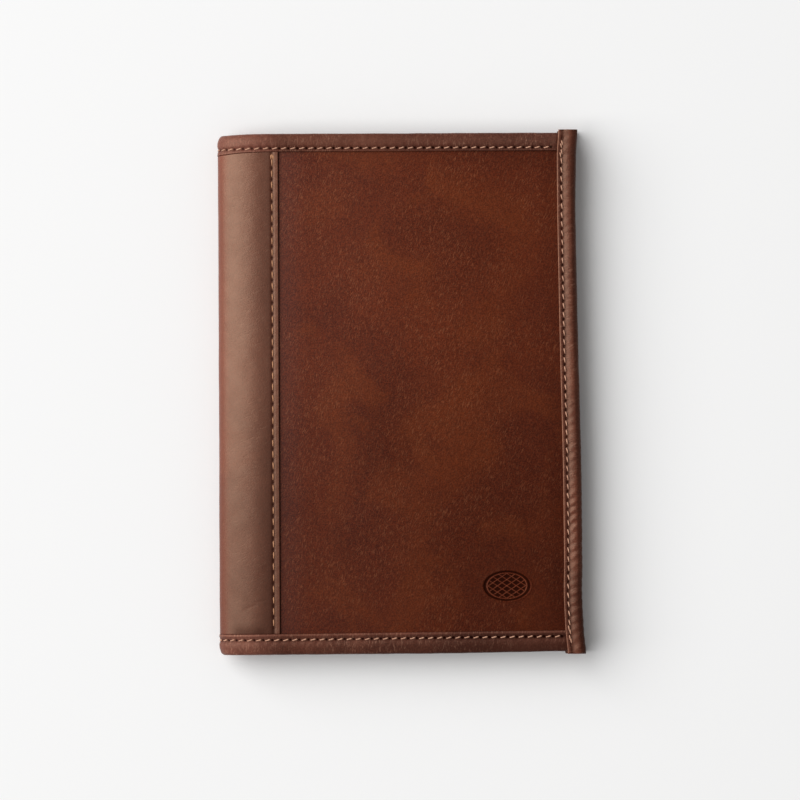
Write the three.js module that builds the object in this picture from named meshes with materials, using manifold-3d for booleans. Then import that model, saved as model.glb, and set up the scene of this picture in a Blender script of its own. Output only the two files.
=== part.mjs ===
// Leather cover for an A5 notebook, closed and lying on its back, with the notebook inside.
// Millimetres. +X runs from the spine to the fore edge, +Y from tail to head, +Z up.
import * as THREE from 'three';
import Module from 'manifold-3d';

// Closed cover.
const WIDTH_HEAD = 153.9; // spine to fore edge, at the head
const WIDTH_TAIL = 157.3; // the fore edge runs slightly outwards on its way to the tail
const HEIGHT = 225.9; // length of the fore-edge binding, the tallest piece
const THICKNESS = 18;
const SPINE_RUN = 12; // how far the rounded spine reaches in x
const HEAD_EDGE = 111.7; // y of the folded head edge
const TAIL_EDGE = -112.8; // y of the folded tail edge at the spine
const TAIL_RISE = 1.5; // the tail edge rises by this much on its way to the fore edge

// Layers of each cover: depths of their two faces below the outer surface.
const OUTER_LEG = [0, 1.0]; // leg of a folded binding that shows
const BAND = [0.3, 1.0]; // reinforcing band sewn over the spine
const LEATHER = [1.05, 2.25]; // outer leather
const LINING = [2.3, 2.6];
const CARD = [2.65, 3.25]; // cover of the notebook
const SLEEVE = [3.3, 4.0]; // pocket that the notebook cover slides into
const INNER_LEG = [4.05, 4.75]; // leg of a folded binding on the inside
const CLEARANCE = 0.05; // between layers that touch

// Folded bindings.
const HEAD_LEG = 7.85; // widths of the outer legs
const TAIL_LEG = 8.6;
const STRIP_LEG = 7.8; // the fore-edge binding is a strip folded over the ends of the other two
const HIDDEN_LEG = 6.8; // width of every inner leg
const FOLD_WALL = 1.0;
const FOLD_RADIUS = 2.2;
const EDGE_INSET = 2.0; // the enclosed layers stop this far short of a fold
const LAP_OUTER = [0, 0.6]; // legs of the strip where it laps over the other bindings
const LAP_INNER = [4.35, 4.75];

// Seams.
const THREAD = 0.18; // radius
const GROOVE_DEPTH = 0.4; // the thread lies in a shallow line pressed into the leather
const GROOVE_HALF = 0.6;
const HEAD_SEAM = 6.0; // distances from the folded edges
const TAIL_SEAM = 5.75;
const STRIP_SEAM = 5.85;
const EDGE_PITCH = 3.9; // stitch length along the bindings
const SLANT = 0.28; // half of the sideways step of a slanted stitch
const BAND_END_X = 26.3;
const BAND_SEAM_X = 23.4;
const BAND_PITCH = 4.84;
const BAND_GROOVE_HALF = 0.35;

// Hinges: the rounded spine opens about two lines parallel to y.
const CUT_ANGLE = 52; // degrees round the spine where a cover ends and the middle of the spine begins
const CUT_GAP = 1.6; // degrees kept clear on each side of that

// Notebook.
const CARD_HEIGHT = 210;
const CARD_END_X = 146.8;
const PAGE_HEIGHT = 207;
const PAGE_START_X = 5.3;
const PAGE_END_X = 144.5;
const PAGE_ANGLE = 47; // the pages follow the rounded card this far up the spine
const PAGE_GAP = 0.15; // half of the gap between the two halves of the pages
const SLEEVE_X = 62; // free edge of each sleeve
const SLEEVE_RAMP = 2; // the pages step over that edge within this distance on each side of it

// Mark pressed into the front cover: a plain oval filled with a diamond lattice.
const MARK = { x: 123.9, y: -84.6, width: 20.4, height: 13.2, depth: 0.3, line: 0.7, pitch: 3.6 };

const LOOKS = {
  leather: { color: 0x5b2e1e, roughness: 0.5, metalness: 0 },
  binding: { color: 0x54291b, roughness: 0.48, metalness: 0 },
  band: { color: 0x70402f, roughness: 0.45, metalness: 0 },
  sleeve: { color: 0x63402c, roughness: 0.65, metalness: 0 },
  lining: { color: 0x8a6a4c, roughness: 0.9, metalness: 0 },
  thread: { color: 0xb5835c, roughness: 0.7, metalness: 0 },
  card: { color: 0x2c2a2b, roughness: 0.7, metalness: 0 },
  paper: { color: 0xf0e9d8, roughness: 0.9, metalness: 0 },
};

const RADIANS = Math.PI / 180;
const SHIFT_X = -WIDTH_TAIL / 2; // the origin is at the centre of the width
const solids = await Module();
solids.setup();
const group = new THREE.Group();
group.name = 'leather_notebook_cover';

const foreEdge = (y) => WIDTH_HEAD + (WIDTH_TAIL - WIDTH_HEAD) * (0.5 - y / HEIGHT);
const tailRise = (x, y) => (y < 0 ? (TAIL_RISE * x) / WIDTH_TAIL : 0);

function through(from, to, step) {
  const count = Math.max(1, Math.round(Math.abs(to - from) / step));
  return Array.from({ length: count + 1 }, (_, i) => from + ((to - from) * i) / count);
}

// [x, z] at `angle` degrees round the spine and `depth` below its outer surface. The back cover
// becomes flat at 0 and the front cover at 180.
function onSpine(angle, depth) {
  const [a, b] = [SPINE_RUN, THICKNESS / 2];
  const [s, c] = [Math.sin(angle * RADIANS), Math.cos(angle * RADIANS)];
  const n = Math.hypot(s / a, c / b);
  return [a - a * s + ((s / a) * depth) / n, b - b * c + ((c / b) * depth) / n];
}

// Arc length of the outer surface from the middle of the spine, for each degree away from it.
const ARC = [0];
for (let degree = 0; degree < 90; degree++) {
  const [[x0, z0], [x1, z1]] = [onSpine(90 - degree, 0), onSpine(89 - degree, 0)];
  ARC.push(ARC[degree] + Math.hypot(x1 - x0, z1 - z0));
}

// [x, z] at arc length `s` from the middle of the spine, positive towards the back cover.
function alongCover(s, depth) {
  const far = Math.abs(s);
  if (far >= ARC[90]) return [SPINE_RUN + far - ARC[90], depth];
  const i = ARC.findIndex((arc) => arc > far) - 1;
  const degrees = i + (far - ARC[i]) / (ARC[i + 1] - ARC[i]);
  return onSpine(90 - Math.sign(s) * degrees, depth);
}

// A closed body: an outline carried through stations. A station turns a point of the outline into
// a point of the back cover. The front cover is its mirror image.
function sweep(outline, stations, front = false) {
  const flat = outline.map(([u, v]) => new THREE.Vector2(u, v));
  if (THREE.ShapeUtils.isClockWise(flat)) {
    flat.reverse();
    outline = [...outline].reverse();
  }
  const points = stations.flatMap((station) => outline.map(([u, v]) => {
    const [x, y, z] = station(u, v);
    return new THREE.Vector3(x + SHIFT_X, y, front ? THICKNESS - z : z);
  }));
  const size = outline.length;
  const last = points.length - size;
  const index = THREE.ShapeUtils.triangulateShape(flat, [])
    .flatMap(([i, j, k]) => [k, j, i, last + i, last + j, last + k]);
  for (let ring = 0; ring < last; ring += size) {
    for (let i = 0; i < size; i++) {
      const [a, b] = [ring + i, ring + ((i + 1) % size)];
      index.push(a, b, b + size, a, b + size, a + size);
    }
  }
  let volume = 0;
  for (let t = 0; t < index.length; t += 3) {
    const [a, b, c] = index.slice(t, t + 3).map((i) => points[i]);
    volume += a.dot(b.clone().cross(c));
  }
  if (volume < 0) index.reverse();
  return new THREE.BufferGeometry().setFromPoints(points).setIndex(index);
}

function add(name, geometry, look) {
  const mesh = new THREE.Mesh(geometry.toNonIndexed(), new THREE.MeshStandardMaterial(LOOKS[look]));
  mesh.geometry.computeVertexNormals();
  mesh.name = name;
  group.add(mesh);
}

// Stations across the cover, for outlines of [depth, y].
const plain = (angle) => (depth, y) => {
  const [x, z] = onSpine(angle, depth);
  return [x, y, z];
};
const wrapped = (angle) => (depth, y) => {
  const [x, , z] = plain(angle)(depth, y);
  return [x, y + tailRise(x, y), z];
};
const level = (x, press = (depth) => depth) => (depth, y) => [x, y + tailRise(x, y), press(depth)];
const nearForeEdge = (inset, press = (depth) => depth) => (depth, y) => {
  const x = foreEdge(y) - inset;
  return [x, y + tailRise(x, y), press(depth)];
};
const ROUNDED = through(CUT_ANGLE - CUT_GAP, 0, 6).map(wrapped);
const MIDDLE = through(CUT_ANGLE + CUT_GAP, 180 - CUT_ANGLE - CUT_GAP, 5).map(wrapped);

const rectangle = ([u0, u1], v0, v1) => [[u0, v0], [u1, v0], [u1, v1], [u0, v1]];

// A strip folded into a U round an edge, with a groove along its outer leg: a list of
// [depth, distance inwards from the folded edge].
function fold({ leg, seam }) {
  const [outer, inner] = [OUTER_LEG[1], INNER_LEG[0]];
  const [near, far] = [FOLD_RADIUS, INNER_LEG[1] - FOLD_RADIUS];
  const arc = (centre, from) => through(from, from + 90, 22.5).map((degrees) => [
    centre + FOLD_RADIUS * Math.cos(degrees * RADIANS),
    FOLD_RADIUS + FOLD_RADIUS * Math.sin(degrees * RADIANS),
  ]);
  return [
    [outer, FOLD_WALL], [outer, leg], [0, leg],
    [0, seam + GROOVE_HALF], [GROOVE_DEPTH, seam + GROOVE_HALF],
    [GROOVE_DEPTH, seam - GROOVE_HALF], [0, seam - GROOVE_HALF],
    ...arc(near, 180), ...arc(far, 270),
    [INNER_LEG[1], HIDDEN_LEG], [inner, HIDDEN_LEG], [inner, FOLD_WALL],
  ];
}
const EDGES = {
  top: { leg: HEAD_LEG, seam: HEAD_SEAM, at: (inwards) => HEAD_EDGE - inwards },
  bottom: { leg: TAIL_LEG, seam: TAIL_SEAM, at: (inwards) => TAIL_EDGE + inwards },
};
const STRIP = { leg: STRIP_LEG, seam: STRIP_SEAM };
const binding = (edge, stations, front) =>
  sweep(fold(edge).map(([depth, inwards]) => [depth, edge.at(inwards)]), stations, front);

// Where the strip laps over the other two bindings, its legs are thin and so are their ends.
function thinned(depth) {
  if (depth === OUTER_LEG[1]) return LAP_OUTER[1];
  return depth === INNER_LEG[0] ? LAP_INNER[0] : depth;
}
function skived(depth) {
  const outer = LAP_OUTER[1] + CLEARANCE;
  if (depth <= OUTER_LEG[1]) return outer + ((OUTER_LEG[1] - outer) * depth) / OUTER_LEG[1];
  const [from, to] = [INNER_LEG[0], LAP_INNER[0] - CLEARANCE];
  if (depth < from) return depth;
  return from + ((to - from) * (depth - from)) / (INNER_LEG[1] - from);
}

// A strand along a seam, stepping sideways by the slant of each stitch. `place` turns
// [along, across, depth] into a point of the back cover.
function strand(place, from, to, pitch, slant, surface, front, parts = 1) {
  const count = Math.floor((to - from) / pitch);
  const start = (from + to - count * pitch) / 2;
  const knots = through(0, count - 1, 1).flatMap((k) => through(-1, 1, 2 / parts)
    .map((t) => [start + (k + 0.5 + 0.35 * t) * pitch, slant * t]));
  const stations = knots.map(([along, across], i) => {
    const [a, b] = [knots[Math.max(0, i - 1)], knots[Math.min(knots.length - 1, i + 1)]];
    const way = new THREE.Vector2(b[0] - a[0], b[1] - a[1]).normalize();
    return (u, v) => place(along - way.y * u, across + way.x * u, surface + GROOVE_DEPTH / 2 + v);
  });
  const circle = through(0, 300, 60).map((degrees) => [
    THREAD * Math.cos(degrees * RADIANS), THREAD * Math.sin(degrees * RADIANS)]);
  return sweep(circle, stations, front);
}

function alongSeam(edge) {
  return (s, across, depth) => {
    const [x, z] = alongCover(s, depth);
    const y = edge.at(edge.seam) + across;
    return [x, y + tailRise(x, y), z];
  };
}

const [HEAD_INSIDE, TAIL_INSIDE] = [HEAD_EDGE - EDGE_INSET, TAIL_EDGE + EDGE_INSET];
const enclosed = (depths) => rectangle(depths, TAIL_INSIDE, HEAD_INSIDE);
const BAND_SECTION = rectangle(
  BAND, TAIL_EDGE + TAIL_LEG + CLEARANCE, HEAD_EDGE - HEAD_LEG - CLEARANCE);
const CARD_SECTION = rectangle(CARD, -CARD_HEIGHT / 2, CARD_HEIGHT / 2);

for (const side of ['back', 'front']) {
  const front = side === 'front';
  const whole = [...ROUNDED, nearForeEdge(EDGE_INSET)];
  const leather = sweep(enclosed(LEATHER), whole, front);
  add(`${side}_leather`, front ? marked(leather) : leather, 'leather');
  add(`${side}_lining`, sweep(enclosed(LINING), whole, front), 'lining');
  add(`${side}_sleeve`,
    sweep(enclosed(SLEEVE), [level(SLEEVE_X), nearForeEdge(EDGE_INSET)], front), 'sleeve');

  // The spine band dips into a groove along its seam.
  const sunk = (depth) => (depth === BAND[0] ? depth + GROOVE_DEPTH : depth);
  const [near, far] = [BAND_SEAM_X - BAND_GROOVE_HALF, BAND_SEAM_X + BAND_GROOVE_HALF];
  add(`spine_band_${side}`, sweep(BAND_SECTION, [
    ...ROUNDED, level(near - CLEARANCE), level(near, sunk),
    level(far, sunk), level(far + CLEARANCE), level(BAND_END_X)], front), 'band');
  add(`spine_band_seam_${side}`, strand(
    (y, across, depth) => [BAND_SEAM_X + across, y, depth],
    TAIL_EDGE + TAIL_LEG, HEAD_EDGE - HEAD_LEG, BAND_PITCH, 0.05, BAND[0], front), 'thread');

  for (const [name, edge] of Object.entries(EDGES)) {
    add(`${name}_binding_${side}`, binding(edge, [
      ...ROUNDED, nearForeEdge(STRIP_LEG + 0.9), nearForeEdge(STRIP_LEG + 0.3, skived),
      nearForeEdge(EDGE_INSET, skived)], front), 'binding');
    const end = foreEdge(edge.at(0)) - STRIP_LEG - 1 - SPINE_RUN + ARC[90];
    add(`${name}_seam_${side}`, strand(
      alongSeam(edge), ARC[90 - CUT_ANGLE] + 0.5, end, EDGE_PITCH, SLANT, 0, front), 'thread');
  }

  const strip = (y, press = (depth) => depth) => (depth, inwards) =>
    [foreEdge(y) - inwards, y, press(depth)];
  const headLap = HEAD_EDGE - HEAD_LEG - 0.2;
  const tailLap = TAIL_EDGE + TAIL_RISE + TAIL_LEG + 0.2;
  add(`fore_edge_binding_${side}`, sweep(fold(STRIP), [
    strip(-HEIGHT / 2, thinned), strip(tailLap, thinned), strip(tailLap + 0.6),
    strip(headLap - 0.6), strip(headLap, thinned), strip(HEIGHT / 2, thinned)], front), 'binding');
  add(`fore_edge_seam_${side}`, strand(
    (y, across, depth) => [foreEdge(y) - STRIP_SEAM - across, y, depth],
    1 - HEIGHT / 2, HEIGHT / 2 - 1, EDGE_PITCH, SLANT, 0, front), 'thread');

  add(`notebook_cover_${side}`, sweep(CARD_SECTION, [
    ...through(CUT_ANGLE - CUT_GAP, 0, 6).map(plain),
    (depth, y) => [CARD_END_X, y, depth]], front), 'card');
  const [onCard, onSleeve] = [CARD[1] + CLEARANCE, SLEEVE[1] + CLEARANCE];
  const middle = THICKNESS / 2 - PAGE_GAP;
  const pages = [
    ...through(PAGE_ANGLE, 0, 6).map((angle) => onSpine(angle, onCard)),
    [SLEEVE_X - SLEEVE_RAMP, onCard], [SLEEVE_X - 0.3, onSleeve],
    [PAGE_END_X, onSleeve], [PAGE_END_X, middle], [PAGE_START_X, middle],
  ];
  const ends = [-PAGE_HEIGHT / 2, PAGE_HEIGHT / 2].map((y) => (x, z) => [x, y, z]);
  add(`pages_${side}`, sweep(pages, ends, front), 'paper');
}

// The middle of the spine, between the two hinge lines.
add('spine_leather', sweep(enclosed(LEATHER), MIDDLE), 'leather');
add('spine_lining', sweep(enclosed(LINING), MIDDLE), 'lining');
add('spine_band_middle', sweep(BAND_SECTION, MIDDLE), 'band');
add('notebook_spine', sweep(CARD_SECTION, MIDDLE), 'card');
for (const [name, edge] of Object.entries(EDGES)) {
  const reach = ARC[90 - CUT_ANGLE] - 0.5;
  add(`${name}_binding_spine`, binding(edge, MIDDLE), 'binding');
  add(`${name}_seam_spine`, strand(
    alongSeam(edge), -reach, reach, EDGE_PITCH, SLANT, 0, false, 3), 'thread');
}

// Presses the mark into the front leather: an oval outline with crossing lines inside it.
function marked(leather) {
  const { Manifold, CrossSection, Mesh } = solids;
  const { width, height, depth, line, pitch } = MARK;
  const oval = (inset) => CrossSection.circle(1, 48).scale([width / 2 - inset, height / 2 - inset]);
  const bars = through(-width, width, pitch).flatMap((x) => [-40, 40].map((angle) =>
    CrossSection.square([line, 3 * height], true).rotate(angle).translate([x, 0])));
  const rim = oval(0).subtract(oval(line));
  const lattice = CrossSection.union(bars).intersect(oval(line + 0.6));
  const top = THICKNESS - LEATHER[0];
  const cutter = rim.add(lattice).extrude(depth + 1)
    .translate([MARK.x + SHIFT_X, MARK.y, top - depth]);
  const mesh = new Manifold(new Mesh({
    numProp: 3,
    vertProperties: leather.attributes.position.array,
    triVerts: new Uint32Array(leather.index.array),
  })).subtract(cutter).getMesh();
  const result = new THREE.BufferGeometry();
  result.setAttribute('position', new THREE.BufferAttribute(mesh.vertProperties, mesh.numProp));
  return result.setIndex(new THREE.BufferAttribute(mesh.triVerts, 1));
}

export default group;
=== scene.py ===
"""A stitched leather notebook cover, closed and lying on its back on a pale table.

Everything is laid out in the flat pattern of the cover, in millimetres: s runs across it from the middle
of the spine, positive over the front cover and negative over the back, y runs from tail to head, and d is
the depth below the outer surface. place() wraps that pattern round the spine.
"""

import math

import bpy
import numpy as np
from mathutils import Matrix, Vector


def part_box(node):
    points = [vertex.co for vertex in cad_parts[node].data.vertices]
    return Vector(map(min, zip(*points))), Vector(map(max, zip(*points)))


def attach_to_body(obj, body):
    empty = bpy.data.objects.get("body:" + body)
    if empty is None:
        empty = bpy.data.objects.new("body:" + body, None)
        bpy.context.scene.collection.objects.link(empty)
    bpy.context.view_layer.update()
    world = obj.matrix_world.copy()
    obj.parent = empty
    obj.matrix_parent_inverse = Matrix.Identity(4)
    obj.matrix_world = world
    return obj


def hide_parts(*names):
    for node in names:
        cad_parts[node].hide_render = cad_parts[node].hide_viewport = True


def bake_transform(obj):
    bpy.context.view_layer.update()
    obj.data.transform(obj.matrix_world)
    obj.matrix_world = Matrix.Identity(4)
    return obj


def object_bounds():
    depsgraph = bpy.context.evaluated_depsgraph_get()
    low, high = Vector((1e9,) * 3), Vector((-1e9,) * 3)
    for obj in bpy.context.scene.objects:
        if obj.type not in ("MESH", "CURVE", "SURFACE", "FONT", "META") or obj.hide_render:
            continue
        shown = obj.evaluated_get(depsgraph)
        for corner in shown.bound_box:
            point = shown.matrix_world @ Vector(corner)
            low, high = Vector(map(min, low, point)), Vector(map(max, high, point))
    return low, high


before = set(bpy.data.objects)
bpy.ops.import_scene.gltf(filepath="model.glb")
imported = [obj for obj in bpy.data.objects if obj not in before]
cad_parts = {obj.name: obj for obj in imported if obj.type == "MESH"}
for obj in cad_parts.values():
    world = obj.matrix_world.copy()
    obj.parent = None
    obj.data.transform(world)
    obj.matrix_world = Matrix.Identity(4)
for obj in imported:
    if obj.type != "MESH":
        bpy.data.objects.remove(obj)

MM = 0.001
CAD_BOUNDS = [list(corner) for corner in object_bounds()]
LOW, HIGH = (np.array(corner) / MM for corner in CAD_BOUNDS)
THICKNESS = HIGH[2]
WIDTH_TAIL = HIGH[0] - LOW[0]
STRIP_TAIL, STRIP_HEAD = LOW[1], HIGH[1]
HEAD_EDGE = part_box("top_binding_front")[1][1] / MM
TAIL_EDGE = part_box("bottom_binding_back")[0][1] / MM
CARD_TAIL, CARD_HEAD = (corner[1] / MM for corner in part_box("notebook_cover_front"))
PAGES_LOW, PAGES_HIGH = (np.array(corner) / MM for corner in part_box("pages_front"))

# The flat pattern, as in the CAD model. An x is measured from the outer edge of the spine.
SPINE_RUN = 12
TAPER = 3.4             # the cover is this much wider at the tail than at the head
TAIL_RISE = 1.5
CLEARANCE = 0.05
HEAD_LEG, TAIL_LEG, STRIP_LEG = 7.85, 8.6, 7.8
HIDDEN_LEG = 6.8
FOLD_RADIUS = 2.2
STRIP_SEAM = 5.85
BAND_END_X, BAND_SEAM_X = 26.3, 23.4
EDGE_INSET = 2.0
SLEEVE_X, SLEEVE_RAMP = 62, 2
CARD_END_X = 146.8

# Depths of the outer and the inner face of each layer.
LEG, BAND, LEATHER, LINING, CARD, SLEEVE, INNER_LEG = (
    (0, 1.0), (0.3, 1.0), (1.05, 2.25), (2.3, 2.6), (2.65, 3.25), (3.3, 4.0), (4.05, 4.75))

# What the hand-made cover adds to the pattern.
FORE_EDGE_BELLY = 0.4   # the fore edge curves in by this much between its ends
FORE_EDGE_WAVE = 0.35   # less so a little below its middle
FORE_EDGE_NOTCH = 0.35  # more so above its tail end
FORE_EDGE_STEP = 0.25   # less so near its head end
FORE_EDGE_FLARE = 0.9   # and flares out again at the ends
EDGE_FOLD, STRIP_FOLD = 4.4, 3.1  # the bindings slope down to their folded edges over this width
FULL_RUN, FULLNESS = 20, 2.3  # width and exponent of the spine's rounding as a superellipse
HEAD_DIP = 0.7          # the head edge is drawn in where the spine turns
SPINE_BELLY = 0.45      # the spine bulges out by this much
HEAD_SEAM, TAIL_SEAM = 6.4, 6.05  # the seams lie this far in from the edges
EDGE_PITCH = 3.9        # stitch lengths
BAND_PITCH = 4.84
STITCH = 0.66           # share of the pitch that each stitch covers
SLANT = 0.34            # each stitch leans across its seam by this much to either side
THREAD_RADIUS = 0.32
VALLEY = 0.48           # depth that the thread pulls the leather down
BAND_VALLEY = 0.20      # less so in the spine band
INNER_VALLEY = 0.30     # and on the bindings' inner legs
HOLE_DEPTH = 0.35       # the needle holes go this much deeper
HOLE_DARK = 0.97        # and their painted shade is this dark, on a scale from 0 to 1
THREAD_REST = 0.12      # the thread's middle lies this much above the bottom of its valley
SEAM_PRESS = 0.10       # the outer leather is pressed down this much along what is sewn on it
MARK_X, MARK_Y, MARK_WIDTH, MARK_HEIGHT = 123.9, -84.6, 20.4, 13.2

# Columns and rows of the layers' meshes, as steps in millimetres.
FIRST_STEP = 0.08       # short, so that the two halves of a piece meet smoothly in the middle of the spine
LAYER_STEP = 1.3
ROW_STEP = 2.0

SIDES = {"back": -1, "front": 1}


# ---- profiles ----

def smooth(edge0, edge1, v):
    """0 at edge0, 1 at edge1, constant outside them and an S curve between. Either may be the larger."""
    t = np.clip((v - edge0) / (edge1 - edge0), 0, 1)
    return t * t * (3 - 2 * t)


def spread(*stops):
    """Values from stop to stop: start, step, next stop, step, ..., end."""
    parts = [np.linspace(a, b, max(2, round(abs(b - a) / step) + 1))[:-1]
             for a, step, b in zip(stops[:-2:2], stops[1:-1:2], stops[2::2])]
    return np.concatenate(parts + [[stops[-1]]])


def bump(v, width):
    """1 at 0, falling to 0 on both sides."""
    return np.exp(-((v / width) ** 2))


def ripple(s, y, size, seed):
    """Smooth unevenness between about -1 and 1, with swells of the given size in mm."""
    waves = np.random.default_rng(seed)
    total = 0
    for _ in range(7):
        angle, phase = waves.uniform(0, math.pi), waves.uniform(0, 2 * math.pi)
        turn = 2 * math.pi / (size * waves.uniform(0.7, 1.6))
        total = total + np.sin(turn * (np.cos(angle) * s + np.sin(angle) * y) + phase)
    return total / 3.2


def rounding(distance, radius):
    """How far a surface drops towards its own edge."""
    t = np.clip(1 - distance / radius, 0, 1)
    return radius * (1 - np.sqrt(np.maximum(1 - t * t, 0)))


def holes(t, pitch, reach=0.42):
    """1 at each needle hole along a seam, falling to 0 beside it."""
    return bump((t + pitch / 2) % pitch - pitch / 2, reach)


def pillows(t, pitch):
    """The leather between two needle holes swells: 1 in the middle, -1 at the holes."""
    return -np.cos(2 * math.pi * t / pitch)


# ---- the flat pattern, wrapped round the spine ----

def round_spine(angle, d):
    """x and z at an angle round the back half of the spine, 0 where the cover is flat and 90 mid-spine."""
    a, b = SPINE_RUN, THICKNESS / 2
    sin, cos = np.sin(angle), np.cos(angle)
    n = np.hypot(sin / a, cos / b)
    return a - a * sin + sin / a / n * d, b - b * cos + cos / b / n * d


ANGLES = np.linspace(math.pi / 2, 0, 361)
ARC = np.concatenate([[0], np.cumsum(np.hypot(*(np.diff(c) for c in round_spine(ANGLES, 0))))])
QUARTER = ARC[-1]
TO_S = QUARTER - SPINE_RUN  # s is x + TO_S on the flat of the cover


def fore_edge(y):
    """x of the cover's fore edge."""
    share = (STRIP_HEAD - y) / (STRIP_HEAD - STRIP_TAIL)  # of the way from head to tail
    ends = np.minimum(y - STRIP_TAIL, STRIP_HEAD - y)
    wave = FORE_EDGE_WAVE * bump(y + 30, 35)
    wave = wave - FORE_EDGE_NOTCH * bump(y + 87, 9) + FORE_EDGE_STEP * np.clip((y - 75) / 25, 0, 1)
    flare = FORE_EDGE_FLARE * bump(ends, 7)
    return WIDTH_TAIL - TAPER * (1 - share) + wave - FORE_EDGE_BELLY + flare


def sag(x):
    """How far the real, fuller curve of the spine lies inside the plain quarter ellipse."""
    full = np.clip(1 - np.clip(x / FULL_RUN, 0, 1), 0, 1) ** FULLNESS
    plain = np.clip(1 - np.clip(x / SPINE_RUN, 0, 1), 0, 1) ** 2
    return THICKNESS / 2 * ((1 - plain) ** 0.5 - (1 - full) ** (1 / FULLNESS))


def place(s, y, d, square=False):
    """Points of the flat pattern as points in the row frame, in metres. A square piece ignores the slope
    of the tail edge and the dip of the head edge."""
    s, y, d = np.broadcast_arrays(*(np.asarray(v, float) for v in (s, y, d)))
    far = np.abs(s)
    x, z = round_spine(np.interp(far, ARC, ANGLES), d)
    x, z = np.where(far > QUARTER, far - TO_S, x), np.where(far > QUARTER, d, z)
    if not square:
        tail = np.clip((HEAD_EDGE - y) / (HEAD_EDGE - TAIL_EDGE), 0, 1)
        dip = HEAD_DIP * bump(x, 10) * np.clip((y - 80) / 30, 0, 1)
        y = y + TAIL_RISE * x / WIDTH_TAIL * tail - dip
    z = z + sag(x) * smooth(0, 2, x)
    x = x - SPINE_BELLY * np.clip(1 - x / SPINE_RUN, 0, 1) ** 2
    return np.stack([x + LOW[0], y, np.where(s > 0, THICKNESS - z, z)], -1) * MM


# ---- meshes ----

def mesh(name, points, faces, pattern, tint, material):
    data = bpy.data.meshes.new(name)
    data.from_pydata(points.reshape(-1, 3).tolist(), [], faces)
    data.shade_smooth()
    data.set_sharp_from_angle(angle=math.radians(50))
    for label, kind, key, values in (("pattern", "FLOAT_VECTOR", "vector", pattern),
                                     ("tint", "FLOAT", "value", tint)):
        data.attributes.new(label, kind, "POINT").data.foreach_set(
            key, np.ascontiguousarray(values, np.float32).ravel())
    data.materials.append(material)
    piece = bpy.data.objects.new(name, data)
    bpy.context.scene.collection.objects.link(piece)
    return piece


def attach(piece, side, bends, stands_for):
    """Fixes a piece to one cover, or, for a piece that reaches into the middle of the spine, only bakes its
    placement into its mesh; and hides the CAD parts that it stands for.
    """
    if bends:
        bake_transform(piece)
    else:
        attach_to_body(piece, side)
    if stands_for:
        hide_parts(*stands_for)
    return piece


def shell(name, side, points, pattern, tint, look, bends=True, ladder=False, stands_for=()):
    """A closed body through rings of points, as an array of (ring, point, axis). Its ends are closed by one
    face each, or by a ladder of faces where a ring is an outer path followed by the inner path back."""
    rings, size = points.shape[:2]
    i, j = np.arange(rings - 1)[:, None] * size, np.arange(size)
    k = (j + 1) % size
    faces = np.stack([i + j, i + k, i + size + k, i + size + j], -1).reshape(-1, 4)
    last = (rings - 1) * size
    if ladder:
        a = np.arange(size // 2 - 1)
        rungs = np.stack([a + 1, a, size - 1 - a, size - 2 - a], -1)
        caps = np.concatenate([rungs, last + rungs[:, ::-1]]).tolist()
    else:
        caps = [list(range(size))[::-1], list(range(last, last + size))]
    faces, inside_out = faces.tolist() + caps, turned_in(points, faces)
    if inside_out:
        faces = [face[::-1] for face in faces]
    material, slot = look
    return attach(mesh(name, points, faces, pattern, tint, material), side, bends, stands_for)


def turned_in(points, faces):
    """Whether the walls of closed bodies face inwards."""
    corners = points.reshape(-1, 3)[faces]
    corners = corners - corners.mean((0, 1))
    return sum(np.einsum("ij,ij->", corners[:, 0], np.cross(corners[:, a], corners[:, a + 1]))
               for a in (1, 2)) < 0


def loft(name, side, s, y, d, look, tint=0.0, square=False, **more):
    """A shell through rings of pattern points: arrays of (ring, point)."""
    s, y, d, tint = np.broadcast_arrays(s * SIDES[side], y, d, tint)
    return shell(name, side, place(s, y, d, square), np.stack([s, y, d], -1) * MM, tint, look, **more)


# ---- surfaces ----

def flat_reach(y):
    """How far the cover's inner layers reach, as s."""
    return fore_edge(y) - EDGE_INSET + TO_S


def layer(name, side, depth, look, columns, rows, back_rows, surface=None, reach=None, short=None, **more):
    """One layer of the cover. columns are distances from mid-spine, which reach(y) stretches at the fore
    edge. rows and back_rows are the y values of the outer and the inner face, and short(s) tells how far
    before its last row the layer ends."""
    y = np.concatenate([rows, back_rows[::-1]])[None, :]
    s = columns[:, None] + 0 * y
    if reach:
        nominal = columns.max()
        s = s + (reach(y) - nominal) * smooth(nominal - 60, nominal - 10, s)
    outer = np.arange(y.size) < len(rows)
    d, tint = (surface(s, y) if surface else (depth[0], 0.0))
    d = np.where(outer, d, depth[1])
    if short:
        y = y - short(s) * smooth(rows[-1] - 12, rows[-1], y)
    return loft(name, side, s, y, d, look, tint=np.where(outer, tint, 0), **more)


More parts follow.
